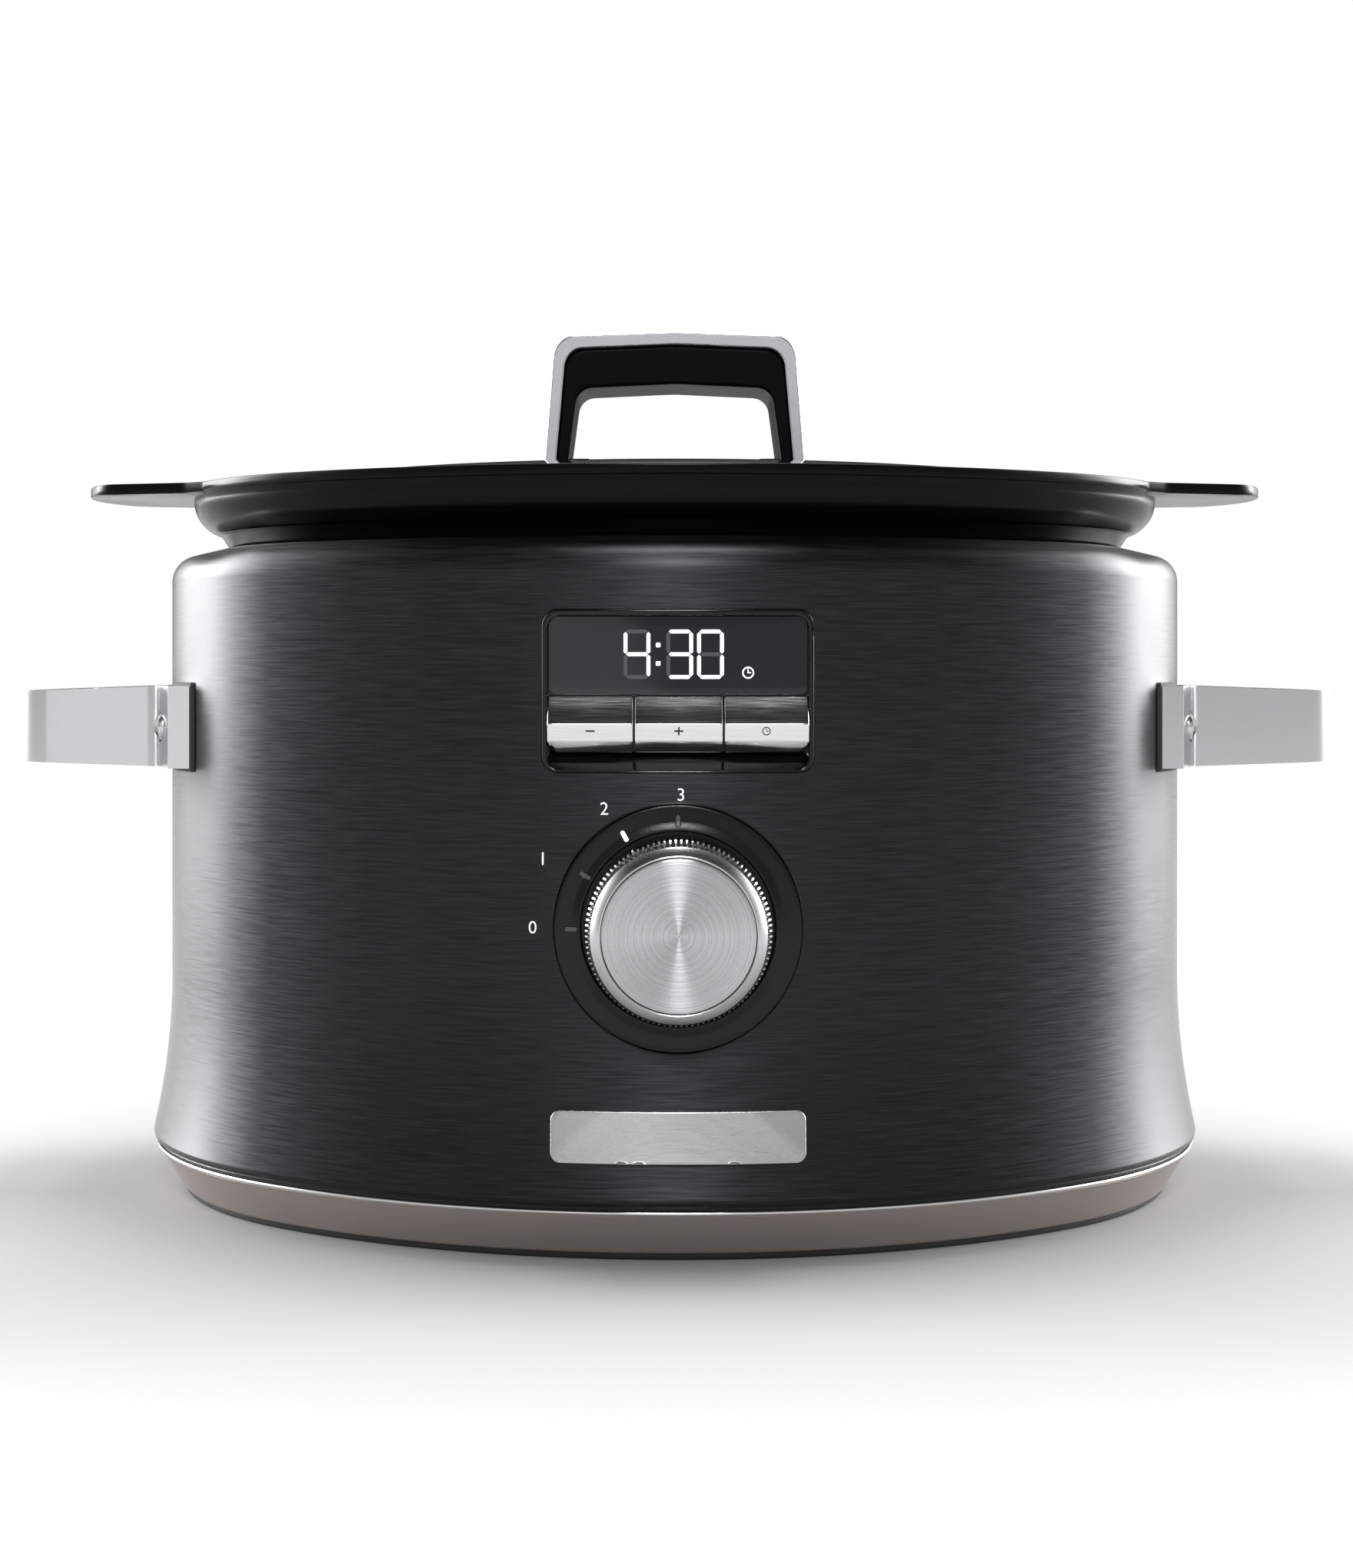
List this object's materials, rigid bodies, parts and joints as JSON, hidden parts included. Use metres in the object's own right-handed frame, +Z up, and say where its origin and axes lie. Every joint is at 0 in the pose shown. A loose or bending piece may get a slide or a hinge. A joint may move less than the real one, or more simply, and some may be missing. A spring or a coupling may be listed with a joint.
{
  "type": "slow cooker",
  "caption": "Oval countertop slow cooker: heated steel housing with a clock display, push buttons and a setting dial, a lift-out pot with side grips and a lift-off lid with an arched handle.",
  "frame": {"origin": "on the surface the cooker stands on, below the middle of the oval", "axes": "+Z up, -Y towards the front with the controls, +X to the right seen from the front"},
  "size_m": [0.435, 0.2889, 0.2855],
  "materials": {
    "dark_steel": "dark tinted brushed stainless steel",
    "bright_trim": "polished",
    "band_grey": "warm grey satin",
    "black_rubber": "matt",
    "black_plastic": "fine matt grain",
    "gloss_black": "high gloss",
    "smoked_window": "smoked gloss",
    "digit_white": "lit from behind",
    "steel": "plain steel sheet",
    "handle_metal": "satin polished",
    "button_metal": "brushed along its length",
    "spun_aluminium": "spun in fine rings",
    "knob_metal": "turned and knurled",
    "plate_metal": "satin",
    "pot_black": "satin non-stick coating on aluminium",
    "lid_glass": "clear tempered glass",
    "silicone": "matt",
    "circuit_board": "solder resist",
    "component_black": "moulded",
    "copper_winding": "enamelled",
    "insulation": "glass fibre mat",
    "mica": "mica and foil"
  },
  "bodies": {
    "housing": {"housing_front": "dark_steel", "housing_back": "dark_steel", "housing_left": "dark_steel", "housing_right": "dark_steel", "trim_gasket": "black_rubber", "trim_ring": "bright_trim", "base_band": "band_grey", "foot_ring": "black_rubber", "base_plate": "black_plastic", "base_screws": "steel", "upper_collar": "black_plastic", "inner_liner": "steel", "pot_rest_pads": "silicone", "heater_band": "mica", "heater_terminals": "steel", "insulation_jacket": "insulation", "heat_shield": "steel", "temperature_sensor": "steel", "thermal_fuse": "component_black", "control_bezel": "gloss_black", "display_window": "smoked_window", "display_digits": "digit_white", "display_module": "component_black", "display_board": "circuit_board", "tact_switches": "component_black", "dial_ring": "black_plastic", "dial_ticks": "digit_white", "tick_lamps": "digit_white", "rotary_encoder": "steel", "encoder_board": "circuit_board", "power_board": "circuit_board", "power_relay": "component_black", "transformer": "copper_winding", "terminal_block": "component_black", "ribbon_cable": "component_black", "cord_gland": "black_rubber", "name_plate": "plate_metal", "side_handle_left": "handle_metal", "side_handle_right": "handle_metal", "handle_gaskets": "black_rubber", "handle_brackets": "steel", "handle_screws": "steel"},
    "pot": {"pot": "pot_black"},
    "lid": {"lid_glass": "lid_glass", "lid_rim": "steel", "lid_handle": "handle_metal", "lid_grip": "black_plastic", "lid_screws": "steel", "lid_washers": "silicone", "vent_grommet": "steel"},
    "knob": {"knob_body": "knob_metal", "knob_cap": "spun_aluminium"},
    "minus_button": {"button_minus": "button_metal"},
    "plus_button": {"button_plus": "button_metal"},
    "cancel_button": {"button_cancel": "button_metal"}
  },
  "joints": [
    {"name": "pot_lift", "type": "slide", "parent": "housing", "child": "pot", "axis": [0, 0, 1], "range_m": [0, 0.2]},
    {"name": "lid_lift", "type": "slide", "parent": "pot", "child": "lid", "axis": [0, 0, 1], "range_m": [0, 0.12]},
    {"name": "knob_turn", "type": "hinge", "parent": "housing", "child": "knob", "pos_m": [0, -0.14, 0.0971], "axis": [0, 1, 0], "range_deg": [-60, 30]},
    {"name": "minus_press", "type": "slide", "parent": "housing", "child": "minus_button", "axis": [0, 1, 0], "range_m": [0, 0.0012], "stiffness_N_per_m": 600},
    {"name": "plus_press", "type": "slide", "parent": "housing", "child": "plus_button", "axis": [0, 1, 0], "range_m": [0, 0.0012], "stiffness_N_per_m": 600},
    {"name": "cancel_press", "type": "slide", "parent": "housing", "child": "cancel_button", "axis": [0, 1, 0], "range_m": [0, 0.0012], "stiffness_N_per_m": 600}
  ]
}
